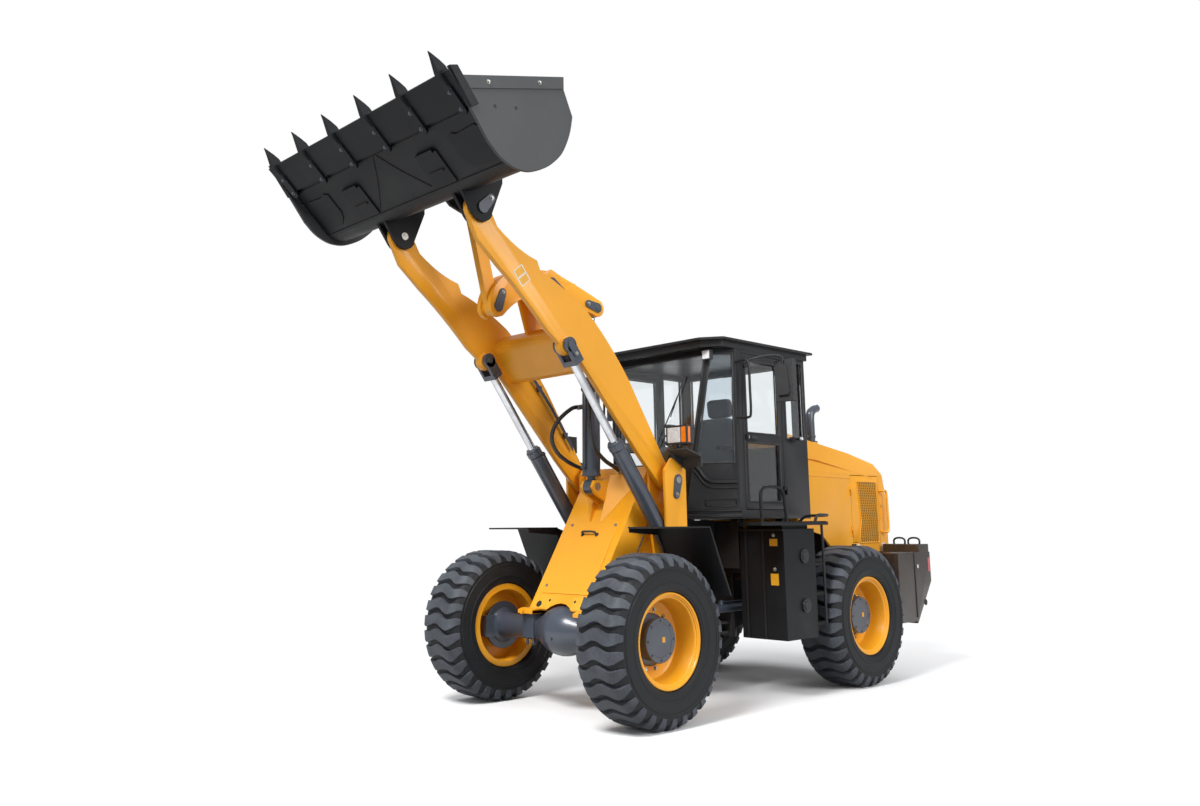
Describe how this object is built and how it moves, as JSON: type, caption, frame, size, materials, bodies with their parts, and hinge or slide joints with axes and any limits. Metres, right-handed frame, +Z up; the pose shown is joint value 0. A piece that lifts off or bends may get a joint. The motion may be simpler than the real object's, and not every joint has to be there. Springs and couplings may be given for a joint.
{
  "type": "articulated wheel loader",
  "caption": "Articulated wheel loader with a raised boom and front bucket, four large tyres, a glazed cab over the pivot and a rear engine under a sloping hood.",
  "frame": {"origin": "on the floor, under the middle of the machine's length and width in the stored pose", "axes": "+X forward, +Y to the machine's left, +Z up"},
  "size_m": [6.578, 2.44, 4.736],
  "materials": {
    "tyre": "worn matt rubber",
    "yellow_paint": "gloss enamel",
    "black_paint": "satin enamel",
    "grey_paint": "satin enamel",
    "cast_brown": "dull enamel on cast iron",
    "chrome": "polished",
    "glass": "lightly tinted",
    "seat": "woven",
    "lamp": "clear lens in a black housing"
  },
  "bodies": {
    "rear_body": {"rear_frame": "black_paint", "counterweight": "cast_brown", "engine_block": "grey_paint", "engine_hood": "yellow_paint", "exhaust_stack": "grey_paint", "cab_frame": "black_paint", "cab_roof": "black_paint", "windscreen": "glass", "rear_window": "glass", "left_side_glass": "glass", "right_side_glass": "glass", "left_quarter_glass": "glass", "right_quarter_glass": "glass", "left_step_box": "black_paint", "right_step_box": "black_paint", "operator_seat": "seat", "steering_column": "black_paint"},
    "rear_axle": {"rear_axle": "grey_paint"},
    "left_door": {"left_door": "black_paint", "left_door_glass": "glass", "left_mirror": "black_paint"},
    "right_door": {"right_door": "black_paint", "right_door_glass": "glass", "right_mirror": "black_paint"},
    "front_body": {"front_frame": "yellow_paint", "front_axle": "grey_paint", "left_front_fender": "black_paint", "right_front_fender": "black_paint", "left_headlamp": "lamp", "right_headlamp": "lamp"},
    "front_left_wheel": {"front_left_tyre": "tyre", "front_left_rim": "yellow_paint"},
    "front_right_wheel": {"front_right_tyre": "tyre", "front_right_rim": "yellow_paint"},
    "rear_left_wheel": {"rear_left_tyre": "tyre", "rear_left_rim": "yellow_paint"},
    "rear_right_wheel": {"rear_right_tyre": "tyre", "rear_right_rim": "yellow_paint"},
    "lift_arms": {"lift_arms": "yellow_paint"},
    "bellcrank_pin": {"bellcrank_pin": "grey_paint"},
    "bellcrank": {"bellcrank": "yellow_paint"},
    "link_pin": {"link_pin": "grey_paint"},
    "bucket_link": {"bucket_link": "yellow_paint"},
    "bucket_pins": {"left_bucket_pin": "grey_paint", "right_bucket_pin": "grey_paint"},
    "bucket": {"bucket": "black_paint"},
    "left_lift_barrel": {"left_lift_barrel": "grey_paint"},
    "left_lift_rod": {"left_lift_rod": "chrome"},
    "right_lift_barrel": {"right_lift_barrel": "grey_paint"},
    "right_lift_rod": {"right_lift_rod": "chrome"},
    "tilt_base_pin": {"tilt_base_pin": "grey_paint"},
    "tilt_barrel": {"tilt_barrel": "grey_paint"},
    "tilt_rod": {"tilt_rod": "chrome"},
    "left_steer_barrel": {"left_steer_barrel": "grey_paint"},
    "left_steer_rod": {"left_steer_rod": "chrome"},
    "right_steer_barrel": {"right_steer_barrel": "grey_paint"},
    "right_steer_rod": {"right_steer_rod": "chrome"},
    "left_hood_door": {"left_hood_door": "yellow_paint"},
    "right_hood_door": {"right_hood_door": "yellow_paint"}
  },
  "joints": [
    {"name": "articulation", "type": "hinge", "parent": "rear_body", "child": "front_body", "pos_m": [-0.437, 0, 0.785], "axis": [0, 0, 1], "range_deg": [-38, 38]},
    {"name": "rear_axle_swing", "type": "hinge", "parent": "rear_body", "child": "rear_axle", "pos_m": [-1.887, 0, 0.65], "axis": [1, 0, 0], "range_deg": [-11, 11]},
    {"name": "front_left_roll", "type": "hinge", "parent": "front_body", "child": "front_left_wheel", "pos_m": [1.013, 0.935, 0.65], "axis": [0, 1, 0], "continuous": true},
    {"name": "front_right_roll", "type": "hinge", "parent": "front_body", "child": "front_right_wheel", "pos_m": [1.013, -0.935, 0.65], "axis": [0, 1, 0], "continuous": true},
    {"name": "rear_left_roll", "type": "hinge", "parent": "rear_axle", "child": "rear_left_wheel", "pos_m": [-1.887, 0.935, 0.65], "axis": [0, 1, 0], "continuous": true},
    {"name": "rear_right_roll", "type": "hinge", "parent": "rear_axle", "child": "rear_right_wheel", "pos_m": [-1.887, -0.935, 0.65], "axis": [0, 1, 0], "continuous": true},
    {"name": "left_door_swing", "type": "hinge", "parent": "rear_body", "child": "left_door", "pos_m": [-1.127, 0.785, 2.35], "axis": [0, 0, 1], "range_deg": [0, 90]},
    {"name": "right_door_swing", "type": "hinge", "parent": "rear_body", "child": "right_door", "pos_m": [-1.127, -0.785, 2.35], "axis": [0, 0, -1], "range_deg": [0, 90]},
    {"name": "left_hood_door_swing", "type": "hinge", "parent": "rear_body", "child": "left_hood_door", "pos_m": [-2.557, 0.612, 1.64], "axis": [0, 0, -1], "range_deg": [0, 85]},
    {"name": "right_hood_door_swing", "type": "hinge", "parent": "rear_body", "child": "right_hood_door", "pos_m": [-2.557, -0.612, 1.64], "axis": [0, 0, 1], "range_deg": [0, 85]},
    {"name": "boom_lift", "type": "hinge", "parent": "front_body", "child": "lift_arms", "pos_m": [0.236, 0, 1.894], "axis": [0, -1, 0], "range_deg": [-76.7, 0]},
    {"name": "bucket_pin_turn", "type": "hinge", "parent": "lift_arms", "child": "bucket_pins", "pos_m": [2.363, 0, 3.875], "axis": [0, -1, 0], "range_deg": [0, 76.7]},
    {"name": "bucket_tilt", "type": "hinge", "parent": "bucket_pins", "child": "bucket", "pos_m": [2.363, 0, 3.875], "axis": [0, 1, 0], "range_deg": [0, 84]},
    {"name": "bellcrank_pin_turn", "type": "hinge", "parent": "lift_arms", "child": "bellcrank_pin", "pos_m": [1.251, 0, 3.551], "axis": [0, -1, 0], "range_deg": [-42.6, 0]},
    {"name": "bellcrank_turn", "type": "hinge", "parent": "bellcrank_pin", "child": "bellcrank", "pos_m": [1.251, 0, 3.551], "axis": [0, -1, 0], "range_deg": [0, 47.9]},
    {"name": "link_pin_turn", "type": "hinge", "parent": "bellcrank", "child": "link_pin", "pos_m": [1.805, 0, 3.28], "axis": [0, -1, 0], "range_deg": [0, 13.9]},
    {"name": "link_turn", "type": "hinge", "parent": "link_pin", "child": "bucket_link", "pos_m": [1.805, 0, 3.28], "axis": [0, 1, 0], "range_deg": [0, 90]},
    {"name": "tilt_base_turn", "type": "hinge", "parent": "front_body", "child": "tilt_base_pin", "pos_m": [0.679, 0, 1.845], "axis": [0, -1, 0], "range_deg": [-90, 0]},
    {"name": "tilt_barrel_turn", "type": "hinge", "parent": "tilt_base_pin", "child": "tilt_barrel", "pos_m": [0.679, 0, 1.845], "axis": [0, -1, 0], "range_deg": [-12.6, 0]},
    {"name": "tilt_rod_slide", "type": "slide", "parent": "tilt_barrel", "child": "tilt_rod", "axis": [-0.019, 0, 0.9998], "range_m": [-0.395, 0]},
    {"name": "left_lift_barrel_turn", "type": "hinge", "parent": "front_body", "child": "left_lift_barrel", "pos_m": [0.214, 0.5, 1.25], "axis": [0, -1, 0], "range_deg": [-66.9, 0]},
    {"name": "left_lift_rod_slide", "type": "slide", "parent": "left_lift_barrel", "child": "left_lift_rod", "axis": [0.5962, 0, 0.8028], "range_m": [-0.745, 0]},
    {"name": "right_lift_barrel_turn", "type": "hinge", "parent": "front_body", "child": "right_lift_barrel", "pos_m": [0.214, -0.5, 1.25], "axis": [0, -1, 0], "range_deg": [-66.9, 0]},
    {"name": "right_lift_rod_slide", "type": "slide", "parent": "right_lift_barrel", "child": "right_lift_rod", "axis": [0.5962, 0, 0.8028], "range_m": [-0.745, 0]},
    {"name": "left_steer_barrel_turn", "type": "hinge", "parent": "rear_body", "child": "left_steer_barrel", "pos_m": [-1.087, 0.44, 0.762], "axis": [0, 0, 1], "range_deg": [-17, 17]},
    {"name": "left_steer_rod_slide", "type": "slide", "parent": "left_steer_barrel", "child": "left_steer_rod", "axis": [0.9998, 0.019, 0], "range_m": [-0.3, 0.3]},
    {"name": "right_steer_barrel_turn", "type": "hinge", "parent": "rear_body", "child": "right_steer_barrel", "pos_m": [-1.087, -0.44, 0.762], "axis": [0, 0, 1], "range_deg": [-17, 17]},
    {"name": "right_steer_rod_slide", "type": "slide", "parent": "right_steer_barrel", "child": "right_steer_rod", "axis": [0.9998, -0.019, 0], "range_m": [-0.3, 0.3]}
  ],
  "couplings": [
    {"joint": "bucket_pin_turn", "follows": "boom_lift", "ratio": -1},
    {"joint": "bellcrank_pin_turn", "follows": "boom_lift", "ratio": 0.555},
    {"joint": "bellcrank_turn", "follows": "bucket_tilt", "ratio": 0.57},
    {"joint": "link_pin_turn", "follows": "boom_lift", "ratio": -0.18},
    {"joint": "link_turn", "follows": "bucket_tilt", "ratio": 1.07},
    {"joint": "tilt_base_turn", "follows": "boom_lift", "ratio": 1.17},
    {"joint": "tilt_barrel_turn", "follows": "bucket_tilt", "ratio": -0.15},
    {"joint": "tilt_rod_slide", "follows": "bucket_tilt", "m_per_rad": -0.265},
    {"joint": "left_lift_barrel_turn", "follows": "boom_lift", "ratio": 0.871},
    {"joint": "left_lift_rod_slide", "follows": "boom_lift", "m_per_rad": 0.5557},
    {"joint": "left_steer_barrel_turn", "follows": "articulation", "ratio": 0.39},
    {"joint": "left_steer_rod_slide", "follows": "articulation", "m_per_rad": -0.445},
    {"joint": "right_lift_barrel_turn", "follows": "boom_lift", "ratio": 0.871},
    {"joint": "right_lift_rod_slide", "follows": "boom_lift", "m_per_rad": 0.5557},
    {"joint": "right_steer_barrel_turn", "follows": "articulation", "ratio": 0.39},
    {"joint": "right_steer_rod_slide", "follows": "articulation", "m_per_rad": 0.445}
  ]
}
